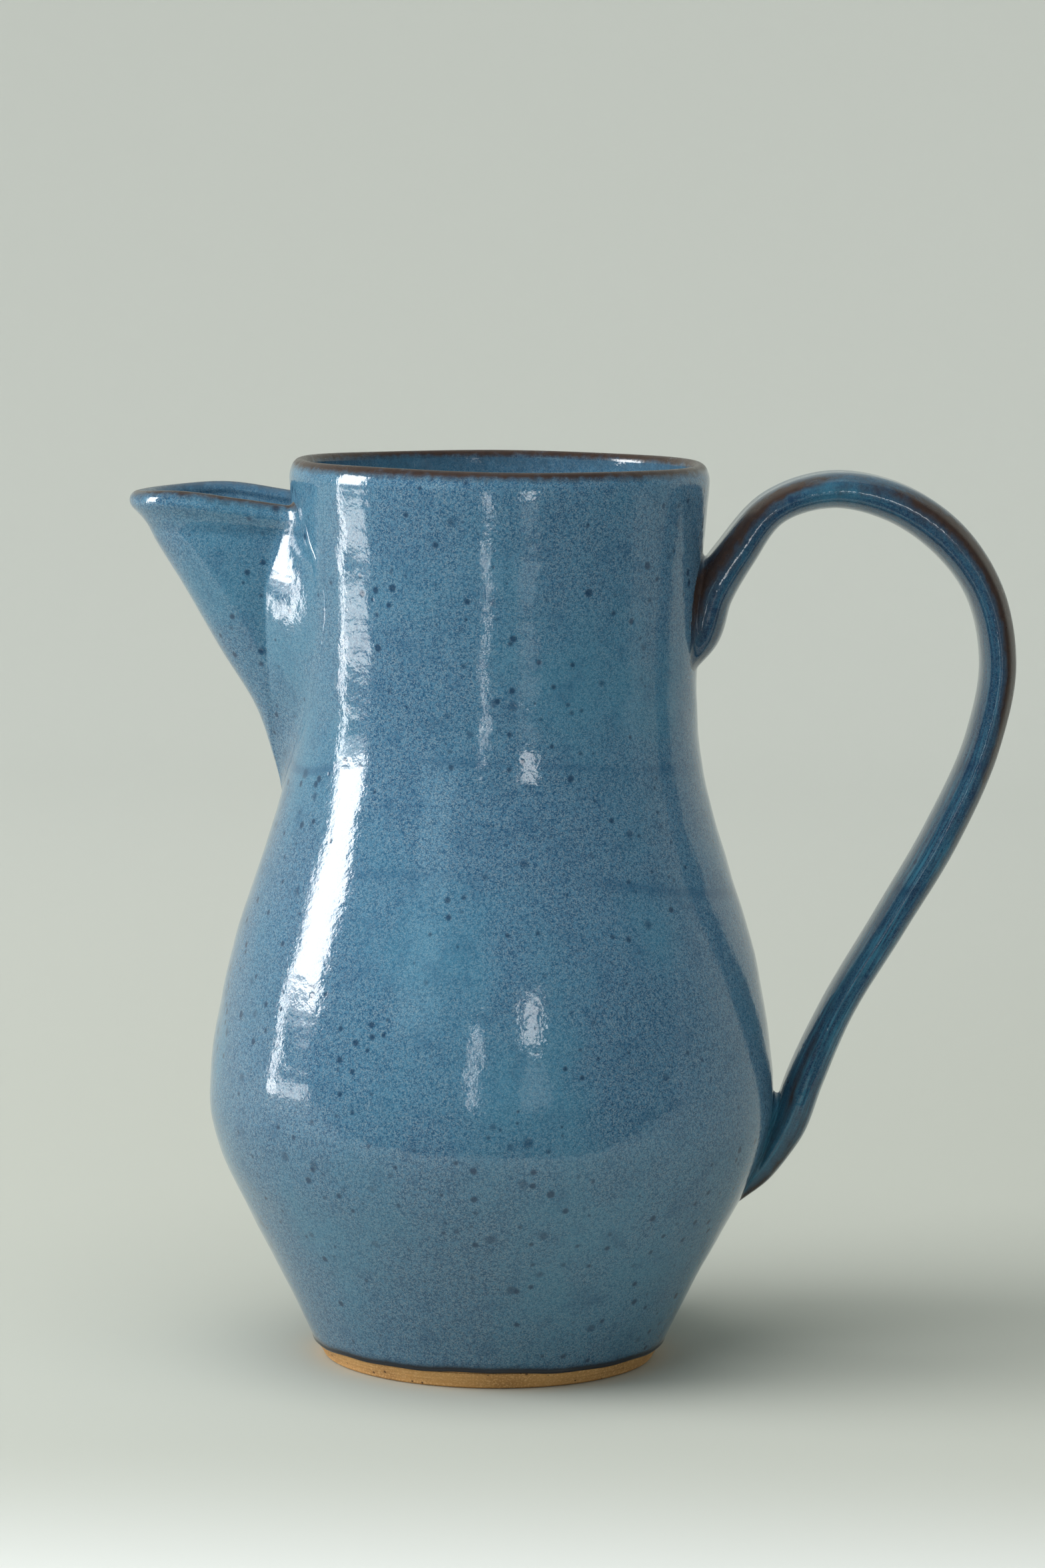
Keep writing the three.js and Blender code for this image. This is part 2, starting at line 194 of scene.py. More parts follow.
def across(vectors, normals):
    """What is left of vectors once their part along normals is taken away."""
    return vectors - np.sum(vectors * normals, -1, keepdims=True) * normals


def wall_normal(points):
    slope = body_radius(points[..., 2] + 0.5) - body_radius(points[..., 2] - 0.5)
    radial = unit(points * np.array([1, 1, 0]))
    return unit(radial - np.stack([0 * slope, 0 * slope, slope], -1))


def bezier(a, b, c, d, share):
    """Points on the cubic curve from a to d, pulled towards b and c."""
    rest = 1 - share
    return rest ** 3 * a + 3 * rest ** 2 * share * b + 3 * rest * share * share * c + share ** 3 * d


def shade_smooth(mesh):
    mesh.polygons.foreach_set("use_smooth", [True] * len(mesh.polygons))


def make_object(name, points, faces, masks):
    """A mesh object from points in millimetres. masks are named numbers, one for each point."""
    mesh = bpy.data.meshes.new(name)
    mesh.from_pydata((np.asarray(points, float) * MM).tolist(), [], [list(map(int, face)) for face in faces])
    for mask, values in masks.items():
        attribute = mesh.attributes.new(mask, "FLOAT", "POINT")
        attribute.data.foreach_set("value", np.asarray(values, np.float32))
    mesh.validate()
    mesh.update()
    piece = bpy.data.objects.new(name, mesh)
    bpy.context.scene.collection.objects.link(piece)
    return piece


def grid_faces(rows, columns, wrap=True):
    """Quads over a grid of rows by columns. With wrap the last column joins the first."""
    row = np.arange(rows - 1)[:, None]
    column = np.arange(columns if wrap else columns - 1)[None, :]
    following = (column + 1) % columns
    corners = [row * columns + column, row * columns + following,
               (row + 1) * columns + following, (row + 1) * columns + column]
    return np.stack([np.broadcast_to(c, (rows - 1, column.shape[1])) for c in corners], -1).reshape(-1, 4)


def capped_tube(name, rings, masks=None, caps=(True, True)):
    """A closed skin over rings, an array of rows by columns by 3, with a fan at each end."""
    rows, columns = rings.shape[:2]
    points = rings.reshape(-1, 3)
    faces = grid_faces(rows, columns).tolist()
    values = {mask: list(np.asarray(v, float).reshape(-1)) for mask, v in (masks or {}).items()}
    extra = []
    for is_capped, start in zip(caps, (0, (rows - 1) * columns)):
        if not is_capped:
            continue
        ring = np.arange(start, start + columns)
        centre = len(points) + len(extra)
        extra.append(points[ring].mean(0))
        for each in values.values():
            each.append(float(np.mean([each[i] for i in ring])))
        pairs = zip(ring, np.roll(ring, -1))
        faces += [[b, a, centre] if start == 0 else [a, b, centre] for a, b in pairs]
    return make_object(name, np.vstack([points] + [[e] for e in extra]), faces, values)


def weld(piece, distance=0.01):
    """Joins points that lie on each other and turns every face outwards."""
    work = bmesh.new()
    work.from_mesh(piece.data)
    bmesh.ops.remove_doubles(work, verts=work.verts, dist=distance * MM)
    bmesh.ops.dissolve_degenerate(work, dist=1e-7, edges=work.edges)
    bmesh.ops.recalc_face_normals(work, faces=work.faces)
    work.to_mesh(piece.data)
    work.free()
    shade_smooth(piece.data)
    piece.data.update()
    return piece


# ---------------------------------------------------------------------------------------------------
# The thrown body and its foot
# ---------------------------------------------------------------------------------------------------

def glaze_edge_height(angle):
    """Where the glaze stops above the bare foot: a line that wanders as the pot was wiped."""
    wander = 0.35 * np.sin(3 * angle + 0.6) + 0.18 * np.sin(7 * angle) + 0.12 * np.sin(17 * angle)
    return BODY_LOW + 0.35 + wander


def body_profile(angle):
    """One column of the body from under its glaze edge, up, over the lip, down inside, to the floor.
    Gives points as radius and height."""
    edge = glaze_edge_height(angle)
    roll = np.linspace(0, np.pi, 9)[1:]
    roll_radius = body_radius(edge + GLAZE_ROLL / 2) - 0.5
    profile = [(body_radius(BODY_LOW) - 1.6, edge + 0.9)]
    profile += [(roll_radius + 0.45 * math.sin(t), edge + GLAZE_ROLL * (1 - math.cos(t)) / 2)
                for t in roll[:5]]
    first = profile[-1][1] + 0.3
    heights = first + (NECK_TOP - first) * np.linspace(0, 1, BODY_ROWS)
    thick = 0.1 * np.exp(-((heights - edge) / 2.5) ** 2)
    profile += list(zip(wall_radius(angle, heights) + thick, heights))
    lip_height = BODY_TOP - LIP_RADIUS
    wave = 0.16 * math.sin(2 * angle + 0.4) + 0.1 * math.sin(5 * angle) - 0.3
    start_radius, start_height = profile[-1]
    shoulder = LIP_SHOULDER + wave
    for t in np.linspace(0, 1, 5)[1:]:
        profile.append((start_radius + (LIP_OUTER - start_radius) * t * t * (3 - 2 * t),
                        start_height + (shoulder - start_height) * t))
    rise = BODY_TOP + wave - shoulder
    for t in np.linspace(0, math.pi / 2, 14)[1:]:
        profile.append((LIP_CREST + (LIP_OUTER - LIP_CREST) * math.cos(t), shoulder + rise * math.sin(t)))
    for t in np.linspace(0, math.pi / 2, 9)[1:]:
        profile.append((LIP_CREST - (LIP_CREST - LIP_INNER) * math.sin(t),
                        BODY_TOP + wave - LIP_RADIUS * (1 - math.cos(t))))
    inner = np.linspace(lip_height - 6, FLOOR_TOP + FLOOR_CORNER, INNER_ROWS)
    wall = WALL_AT_FOOT + (WALL_AT_NECK - WALL_AT_FOOT) * np.minimum(inner / 110, 1)
    finger = 0.28 * np.sin(2 * np.pi * inner / 9.5 + angle) + 0.1 * np.sin(2 * np.pi * inner / 4.1 + angle)
    fade = np.clip((lip_height - 8 - inner) / 25, 0, 1)
    profile += list(zip(body_radius(inner) - wall + finger * fade, inner))
    corner = profile[-1][0]
    for t in np.linspace(0, 1, FLOOR_ROWS)[1:-1]:
        radius = corner * (1 - t)
        dish = FLOOR_CORNER * max(0, 1 - t * 4.5) ** 2
        spiral = 0.25 * math.sin(2 * math.pi * radius / 7 + angle) * min(1, 8 * t * (1 - t))
        profile.append((radius, FLOOR_TOP + dish + spiral))
    return np.array(profile)


def build_body():
    angles = np.linspace(0, 2 * np.pi, BODY_COLUMNS, endpoint=False)
    columns = np.stack([body_profile(a) for a in angles], 1)
    radius, height = columns[..., 0], columns[..., 1]
    rings = np.stack([radius * np.cos(angles), radius * np.sin(angles), height], -1)
    rows = len(rings)
    row = np.arange(rows)[:, None] * np.ones((1, BODY_COLUMNS))
    is_inside = row > rows - FLOOR_ROWS - INNER_ROWS
    over_lip = np.clip((height - (BODY_TOP - LIP_BREAK)) / LIP_BREAK_FADE, 0, 1)
    pool = np.clip(1 - (height - glaze_edge_height(angles)) / POOL_DEPTH, 0, 1) * (~is_inside)
    masks = {"break": over_lip, "pool": pool, "inside": is_inside.astype(float)}
    return weld(capped_tube("body_skin", rings, masks))


def opening_outline(steps):
    """The pour opening seen along the spout: (sideways, height) points, a rounded V."""
    share = np.linspace(0, 1, steps, endpoint=False)[:, None]
    w = OPENING_HALF_WIDTH
    right = [np.array(p, float) for p in (
        (0, OPENING_BOTTOM), (0.7 * w, OPENING_BOTTOM), (w, OPENING_SHOULDER - 15), (w, OPENING_SHOULDER),
        (w, OPENING_TOP - 4), (0.6 * w, OPENING_TOP), (0, OPENING_TOP))]
    up = np.vstack([bezier(*right[:4], share), bezier(*right[3:], share)])
    down = np.vstack([right[6][None], up[:0:-1]]) * np.array([-1, 1])
    return np.vstack([up, down])


def build_opening_cutter():
    """A spool whose flared ends round over both edges of the hole that it cuts."""
    outline = opening_outline(24)
    middle = np.array([0, (OPENING_BOTTOM + OPENING_TOP) / 2])
    tangent = np.roll(outline, -1, 0) - np.roll(outline, 1, 0)
    outward = unit(np.stack([tangent[:, 1], -tangent[:, 0]], -1))
    outward *= np.sign(np.sum(outward * (outline - middle), -1, keepdims=True))
    beyond = 6.0
    widest = OPENING_EDGE + 0.02
    quarter = np.linspace(0, math.pi / 2, 7)
    flare = [(OPENING_EDGE * math.sin(t), OPENING_EDGE * (1 - math.cos(t))) for t in quarter]
    depth_and_grow = [(beyond, widest)]
    depth_and_grow += [(along - OPENING_EDGE, grow) for along, grow in flare[::-1]]
    depth_and_grow += [(-WALL_AT_NECK + OPENING_EDGE - along, grow) for along, grow in flare]
    depth_and_grow += [(-WALL_AT_NECK - beyond, widest)]
    rings = []
    for depth, grow in depth_and_grow:
        ring = outline + outward * grow
        wall = body_radius(ring[:, 1])
        x = -np.sqrt(np.maximum(wall ** 2 - ring[:, 0] ** 2, 1)) - depth
        rings.append(np.stack([x, ring[:, 0], ring[:, 1]], -1))
    rings = turned_about_axis(np.array(rings), SPOUT_TURN)
    return weld(capped_tube("opening_cutter", rings))


def turned_about_axis(points, angle):
    c, s = math.cos(angle), math.sin(angle)
    return points @ np.array([[c, s, 0], [-s, c, 0], [0, 0, 1]])


def cut(piece, cutter):
    """Cuts the cutter's shape out of the piece for good."""
    modifier = piece.modifiers.new("cut", "BOOLEAN")
    modifier.operation = "DIFFERENCE"
    modifier.solver = "EXACT"
    modifier.object = cutter
    bpy.context.view_layer.update()
    evaluated = piece.evaluated_get(bpy.context.evaluated_depsgraph_get())
    mesh = bpy.data.meshes.new_from_object(evaluated)
    piece.modifiers.clear()
    old = piece.data
    piece.data = mesh
    bpy.data.meshes.remove(old)
    bpy.data.objects.remove(cutter)
    shade_smooth(piece.data)
    return piece


def clear_mask_above(piece, mask, height):
    """Sets a mask to 0 above a height. The cut leaves stray values on the walls of the hole."""
    values = piece.data.attributes[mask].data
    for vertex in piece.data.vertices:
        if vertex.co.z > height * MM:
            values[vertex.index].value = 0.0


def build_foot():
    """The bare foot: a bevelled disc with the turning tool's rings under it and up its side."""
    angles = np.linspace(0, 2 * np.pi, BODY_COLUMNS, endpoint=False)
    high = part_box("turned_foot")[1]
    top_radius = high.x / MM
    height = high.z / MM
    profile = []
    for radius in np.linspace(0.5, FOOT_RADIUS - FOOT_BEVEL, 60):
        profile.append((radius, 0.10 + 0.08 * math.sin(radius * 2.1) + 0.02 * math.sin(radius * 5)))
    for t in np.linspace(0, math.pi / 2, 8):
        profile.append((FOOT_RADIUS - FOOT_BEVEL + FOOT_BEVEL * math.sin(t),
                        FOOT_BEVEL - FOOT_BEVEL * math.cos(t)))
    for t in np.linspace(0, 1, 14)[1:]:
        groove = 0.06 * math.sin(t * 22)
        profile.append((FOOT_RADIUS + (top_radius - FOOT_RADIUS) * t + groove,
                        FOOT_BEVEL + (height - 0.2) * t))
    for level in np.linspace(height + 0.6, height + 1.9, 5):
        profile.append((float(body_radius(level)) - CLAY_UNDER_GLAZE, level))
    profile.append((top_radius - 2.5, height + 2.2))
    profile = np.array(profile)
    wander = 0.05 * np.sin(4 * angles) + 0.03 * np.sin(11 * angles)
    radius = profile[:, 0][:, None] + wander * (profile[:, 0][:, None] > FOOT_RADIUS - FOOT_BEVEL)
    rings = np.stack([radius * np.cos(angles), radius * np.sin(angles),
                      profile[:, 1][:, None] + 0 * angles], -1)
    return weld(capped_tube("foot_clay", rings))


# ---------------------------------------------------------------------------------------------------
# The spout
# ---------------------------------------------------------------------------------------------------

def plan_outline(level, reach, half_width, samples=240):
    """Half of the spout's outline in plan, tip to wall, at a level from 0 (bottom) to 1 (rim)."""
    shape = min(max(level, 0), 1)
    turn = np.linspace(0, math.pi / 2, samples)
    power = 2 / (2 + shape)
    inward = 1 - np.cos(turn) ** power
    bulge = 1 + 0.3 * shape * np.sin(2 * turn)
    nominal = SPOUT_BOTTOM + (SPOUT_RIM - SPOUT_BOTTOM) * level
    height = nominal + rim_wave(inward) * shape
    wall = body_radius(height)
    y = half_width * np.sin(turn) ** power * bulge
    wall_x = np.sqrt(wall ** 2 - half_width ** 2)
    x = reach + (wall_x - reach) * inward
    least = np.sqrt(np.maximum(wall ** 2 - y ** 2, 0)) - (1 - inward) * 0.6 * (level < 0)
    return np.stack([-np.maximum(x, least), y, height], -1)


def resample(points, count):
    """The same line with points evenly spaced along it."""
    step = np.linalg.norm(np.diff(points, axis=0), axis=1)
    length = np.concatenate([[0], np.cumsum(step)])
    wanted = np.linspace(0, length[-1], count)
    return np.stack([np.interp(wanted, length, points[:, axis]) for axis in range(3)], -1), length[-1]


def with_fillet(outline, on_piece, on_wall_size, away, counts, smear=0.0, pull=0.66):
    """An outline that ends at the wall, with its last corner rounded on to the wall and then sunk in it.
    away is the side along the wall that it turns to: 1 outwards, -1 into the channel. smear is the height
    of the clay left along the joint, and pull is how far the rounding goes into the corner."""
    flank_count, curve_count = counts
    dense, length = resample(outline, 400)
    on_piece = min(on_piece, 0.45 * length)
    keep = int(round(399 * (1 - on_piece / length)))
    flank, _ = resample(dense[: keep + 1], flank_count)
    corner = dense[-1]
    angle = math.atan2(corner[1], -corner[0])
    radius = math.hypot(corner[0], corner[1])

    def wall_at(distance, sink):
        there = angle + away * distance / radius
        point = np.array([-radius * math.cos(there), radius * math.sin(there), corner[2]])
        turned = turned_about_axis(point, SPOUT_TURN)
        return turned_about_axis(on_wall(turned, sink), -SPOUT_TURN)

    end = wall_at(on_wall_size, 0.0)
    t = np.linspace(0, 1, curve_count + 1)[1:, None]
    near_flank = flank[-1] + (corner - flank[-1]) * pull
    near_end = end + (corner - end) * pull
    curve = bezier(flank[-1], near_flank, near_end, end, t)
    ridge = np.where(t < 0.3, t / 0.3, (1 - t) / 0.7)
    curve += smear * ridge * ridge * (3 - 2 * ridge) * unit(corner * np.array([1, 1, 0]))
    tail = [wall_at(on_wall_size + extra, sink) for extra, sink in ((1.0, 0.03), (2.0, 0.14), (3.2, 0.9))]
    return np.vstack([flank, curve, tail])


def whole_outline(half):
    """Near side to far side from the tip-to-wall half, whose first point is the tip."""
    mirrored = half[:0:-1] * np.array([1, -1, 1])
    return np.vstack([mirrored, half])


def rim_bead(below_rim):
    """How far the spout stands out near its rim: a bead, and a shallow groove under it."""
    bead = 1.15 * math.exp(-(((below_rim - 3.4) / 2.3) ** 2))
    groove = 0.35 * math.exp(-(((below_rim - 9) / 2.5) ** 2))
    return bead - groove


def build_spout():
    counts = (56, 22)
    on_flank, on_wall_size = smooth_line(JOINT_ON_FLANK), smooth_line(JOINT_ON_WALL)
    smear, pull = smooth_line(JOINT_SMEAR), smooth_line(JOINT_PULL)
    levels = np.concatenate([np.linspace(-0.09, 0.9, 84), np.linspace(0.9, 0.972, 14)[1:]])
    rings = []
    breaks = []
    for level in levels:
        nominal = SPOUT_BOTTOM + (SPOUT_RIM - SPOUT_BOTTOM) * level
        bead = rim_bead(SPOUT_RIM - nominal)
        reach = keel_reach(nominal) + bead - 0.1
        half = spout_half_width(nominal) + bead
        outer_half = plan_outline(level, reach, half)
        outer = with_fillet(outer_half, on_flank(level), on_wall_size(level), 1, counts,
                            smear(level), pull(level))
        inner_width = max(half - SPOUT_FLANK_WALL, 0.6 * half)
        inner_reach = max(reach - SPOUT_WALL, body_radius(nominal) - 1.0)
        inner_half = plan_outline(max(level, 0), inner_reach, inner_width)
        inner_half[:, 2] = outer_half[:, 2]
        inner = with_fillet(inner_half, 1.6, 1.6, -1, counts)
        rings.append(np.vstack([whole_outline(outer), whole_outline(inner)[::-1]]))
        breaks.append(np.full(len(rings[-1]), max(0.0, (level - 0.955) / 0.02) * 0.2))
    last = rings[-1]
    columns = len(last) // 2
    middle = (last + last[::-1]) / 2
    near_wall = np.linspace(-1, 1, columns)
    near_wall = np.concatenate([near_wall, near_wall[::-1]])
    lump = 1.3 * np.exp(-(((np.abs(near_wall) - 0.9) / 0.07) ** 2))
    for turn in np.linspace(0, math.pi / 2, 9)[1:]:
        rise = (LIP_HALF_THICKNESS + lump) * math.sin(turn)
        ring = middle + (last - middle) * math.cos(turn)
        ring = ring + np.stack([0 * rise, 0 * rise, rise], -1)
        rings.append(ring)
        breaks.append(np.full(len(ring), 0.2 + 0.8 * math.sin(turn) ** 1.5))
    rings = turned_about_axis(np.array(rings), SPOUT_TURN)
    breaks = np.array(breaks)
    inside = np.zeros_like(breaks)
    inside[:, columns:] = 1
    below = SPOUT_RIM - rings[..., 2]
    pool = 0.5 * np.exp(-(((below - 8) / 3) ** 2)) * (1 - inside)
    masks = {"break": breaks, "pool": pool, "inside": inside}
    return weld(capped_tube("spout_skin", rings, masks, caps=(True, False)))


# ---------------------------------------------------------------------------------------------------
# The handle
# ---------------------------------------------------------------------------------------------------

def strap_lines():
    """The strap's centre line and sizes as functions of the share of its length, 0 at the root."""
    share = np.concatenate([[0], np.cumsum(STRAP_STEPS)]) / STRAP_LENGTH
    return [smooth_line(list(zip(share, STRAP[:, column]))) for column in range(4)]


STRAP_X, STRAP_Z, STRAP_WIDTH, STRAP_THICKNESS = strap_lines()


def strap_centre(along):
    return np.stack([STRAP_X(along), 0 * along, STRAP_Z(along)], -1)


def strap_point(along, turn):
    """The strap's surface at a share of its length and an angle round it, 0 on its outer face."""
    step = 1e-3
    tangent = unit(strap_centre(along + step) - strap_centre(along - step))
    outward = np.stack([-tangent[..., 2], 0 * along, tangent[..., 0]], -1)
    power = 2 / STRAP_SQUARENESS
    c, s = np.cos(turn), np.sin(turn)
    thickness = STRAP_THICKNESS(along) / 2 - 0.05
    drawn = 0.14 * np.cos(7 * turn + 2.2 * np.sin(3 * along)) + 0.07 * np.cos(13 * turn + 5 * along)
    groove = 0.4 * np.exp(-((s / 0.28) ** 2)) * (c > 0)
    lift = thickness * np.sign(c) * np.abs(c) ** power - groove
    side = (STRAP_WIDTH(along) / 2 + drawn) * np.sign(s) * np.abs(s) ** power
    return strap_centre(along) + outward * lift[..., None] + np.stack([0 * side, side, 0 * side], -1)


def wall_crossing(turns, inside_end, outside):
    """For each line along the strap, the share of its length where it enters the body."""
    shares = np.linspace(outside, inside_end, 900)
    along = shares[:, None] + 0 * turns
    points = strap_point(along, turns[None, :] + 0 * along)
    angle = np.arctan2(points[..., 1], points[..., 0])
    gap = np.hypot(points[..., 0], points[..., 1]) - wall_radius(angle, points[..., 2])
    first = np.argmax(gap < 0, axis=0)
    column = np.arange(len(turns))
    before, after = gap[first - 1, column], gap[first, column]
    blend = before / (before - after)
    return shares[first - 1] + (shares[first] - shares[first - 1]) * blend


def joint_rows(turns, crossing, toward, size, pull, rows):
    """The strap's end, rounded on to the wall: rows from the strap's side to under the wall's skin.
    size is how far the rounding reaches along strap and wall, pull how deep it goes into the corner."""
    corner = strap_point(crossing, turns)
    start_share = crossing + toward * size / STRAP_LENGTH
    start = strap_point(start_share, turns)
    on_piece = unit(start - corner)
    off_strap = across(corner - strap_centre(crossing), on_piece)
    away = unit(across(off_strap, wall_normal(corner)))
    end = on_wall(corner + away * size[:, None])
    near_start = start + (corner - start) * pull[:, None]
    near_end = end + (corner - end) * pull[:, None]
    t = np.linspace(0, 1, rows + 1)[1:, None, None]
    curve = bezier(start, near_start, near_end, end, t)
    sunk = [on_wall(corner + away * (size[:, None] + extra), sink)
            for extra, sink in ((0.6, 0.2), (1.2, 1.0))]
    return start_share, np.concatenate([curve, np.array(sunk)])


def build_handle():
    turns = np.linspace(0, 2 * np.pi, STRAP_FIBRES, endpoint=False)
    c, s = np.cos(turns), np.sin(turns)
    root = wall_crossing(turns, 0.0, 0.2)
    tail = wall_crossing(turns, 1.0, 0.8)
    underside = np.clip(-c, 0, 1)
    pull = 0.6 + 0 * c
    root_start, root_rows = joint_rows(turns, root, 1, 4.4 - 3.2 * underside, pull, 10)
    tail_size = 1.6 + 6.5 * underside ** 0.7
    tail_start, tail_rows = joint_rows(turns, tail, -1, tail_size, pull - 0.42 * underside, 12)
    t = np.linspace(0, 1, STRAP_ROWS)[:, None]
    shares = root_start + (tail_start - root_start) * t
    strap_rows = strap_point(shares, turns[None, :] + 0 * shares)
    rings = np.concatenate([root_rows[::-1], strap_rows, tail_rows])
    along = np.concatenate([np.zeros(len(root_rows)), t[:, 0], np.ones(len(tail_rows))])[:, None] + 0 * turns
    press_thumbs(rings, along)
    from_face = np.abs(np.degrees(np.arctan2(s, c)))
    outer_edge = np.exp(-(((from_face - 56) / 33) ** 2)) * edge_wear(along)
    inner_edge = np.exp(-(((from_face - 120) / 15) ** 2)) * inner_wear(along)
    breaks = np.maximum(outer_edge, inner_edge)
    step = np.linalg.norm(np.diff(rings.mean(1), axis=0), axis=-1)
    run = np.concatenate([[0], np.cumsum(step)])[:, None] + 0 * turns
    girth = turns[None, :] * GIRTH_SCALE + 0 * run
    there_and_back = HALF_GIRTH - np.abs(girth - HALF_GIRTH)
    masks = {"break": breaks, "pool": 0 * breaks, "inside": 0 * breaks, "run": run * MM,
             "girth": there_and_back * MM}
    return weld(capped_tube("handle_skin", rings, masks))


def press_thumbs(rings, along):
    """The dents where the tail was pressed home, on both sides and the face."""
    for x, y, z, radius, depth in THUMB_PRESSES:
        centre = np.array([x, y, z], float)
        away = np.linalg.norm(rings - centre, axis=-1)
        push = depth * np.exp(-((away / radius) ** 2)) * (along > 0.8)
        inward = -unit(rings - strap_centre(np.clip(along, 0.01, 0.99)))
        rings += inward * push[..., None]


# ---------------------------------------------------------------------------------------------------
# Materials
# ---------------------------------------------------------------------------------------------------

BODY_BLUES = {"deep": (0.022, 0.086, 0.17), "mid": (0.072, 0.185, 0.29), "pale": (0.2, 0.285, 0.345),
              "turquoise": (0.07, 0.235, 0.34)}
HANDLE_BLUES = {"deep": (0.011, 0.036, 0.082), "mid": (0.024, 0.074, 0.135), "pale": (0.06, 0.11, 0.155),
                "turquoise": (0.05, 0.2, 0.29)}
SPECK_BLUE = (0.012, 0.038, 0.085)
BLOT_BLUE = (0.016, 0.05, 0.105)
RUST = (0.09, 0.03, 0.012)
BREAK_BROWNS = [(0.022, 0.016, 0.017), (0.062, 0.036, 0.024)]
BREAK_GREY = (0.04, 0.052, 0.07)
POOLED_BLUE = (0.012, 0.04, 0.085)
POOLED_BLACK = (0.012, 0.014, 0.02)
TOASTED_BUFF = [(0.66, 0.36, 0.125), (0.48, 0.245, 0.08)]
PALE_GRIT = (0.84, 0.52, 0.23)
IRON_SPECK = (0.05, 0.022, 0.012)
OVERLAPS = [(0.1595, 0.55), (0.131, 0.45)]  # height in metres and strength of each line


class Nodes:
    """A short way to lay out shader nodes and join them."""

    def __init__(self, tree):
        self.tree = tree

    def add(self, kind, settings=None, **inputs):
        node = self.tree.nodes.new(kind)
        for key, value in (settings or {}).items():
            setattr(node, key, value)
        for key, value in inputs.items():
            self.feed(node.inputs[key.replace("_", " ")], value)
        return node

    def feed(self, socket, value):
        """Joins another node's output to a socket, or sets the socket to a plain value."""
        if isinstance(value, bpy.types.NodeSocket):
            self.tree.links.new(value, socket)
        elif socket.type == "RGBA" and len(value) == 3:
            socket.default_value = (*value, 1.0)
        else:
            socket.default_value = value

    def place(self):
        return self.add("ShaderNodeTexCoord").outputs["Object"]

    def mask(self, name):
        return self.add("ShaderNodeAttribute", {"attribute_name": name}).outputs["Fac"]

    def noise(self, coordinates, scale, detail=2.0, roughness=0.5, distortion=0.0):
        return self.add("ShaderNodeTexNoise", Vector=coordinates, Scale=scale, Detail=detail,
                        Roughness=roughness, Distortion=distortion).outputs["Fac"]

    def ramp(self, value, low, high, to_low=0.0, to_high=1.0):
        return self.add("ShaderNodeMapRange", {"interpolation_type": "SMOOTHSTEP"}, Value=value, From_Min=low,
                        From_Max=high, To_Min=to_low, To_Max=to_high).outputs["Result"]

    def math(self, operation, a, b=0.0):
        node = self.add("ShaderNodeMath", {"operation": operation})
        self.feed(node.inputs[0], a)
        self.feed(node.inputs[1], b)
        return node.outputs[0]

    def times(self, a, b):
        return self.math("MULTIPLY", a, b)

    def mix(self, share, a, b):
        """The colour a with a share of the colour b over it."""
        node = self.add("ShaderNodeMix", {"data_type": "RGBA"})
        for socket, value in ((node.inputs[0], share), (node.inputs[6], a), (node.inputs[7], b)):
            self.feed(socket, value)
        return node.outputs[2]

    def spots(self, place, scale, empty, largest, softness, channel=0, crowd=None):
        """Scattered round spots, no more than one to a cell. empty is the share of cells with none,
        largest the biggest radius in cells, and channel picks which of a cell's random numbers sets it."""
        cells = self.add("ShaderNodeTexVoronoi", {"feature": "F1"}, Vector=place, Scale=scale, Randomness=1.0)
        random = self.add("ShaderNodeSeparateColor", Color=cells.outputs["Color"])
        radius = self.ramp(random.outputs[channel], empty, 1.0, 0.0, largest)
        if crowd is not None:
            radius = self.times(radius, crowd)
        return self.ramp(self.math("SUBTRACT", radius, cells.outputs["Distance"]), *softness)

    def surface(self, **inputs):
        """Ends a material with one principled shader."""
        shader = self.add("ShaderNodeBsdfPrincipled", **inputs)
        self.add("ShaderNodeOutputMaterial", Surface=shader.outputs[0])


def new_material(name):
    material = bpy.data.materials.new(name)
    material.use_nodes = True
    material.node_tree.nodes.clear()
    return material, Nodes(material.node_tree)


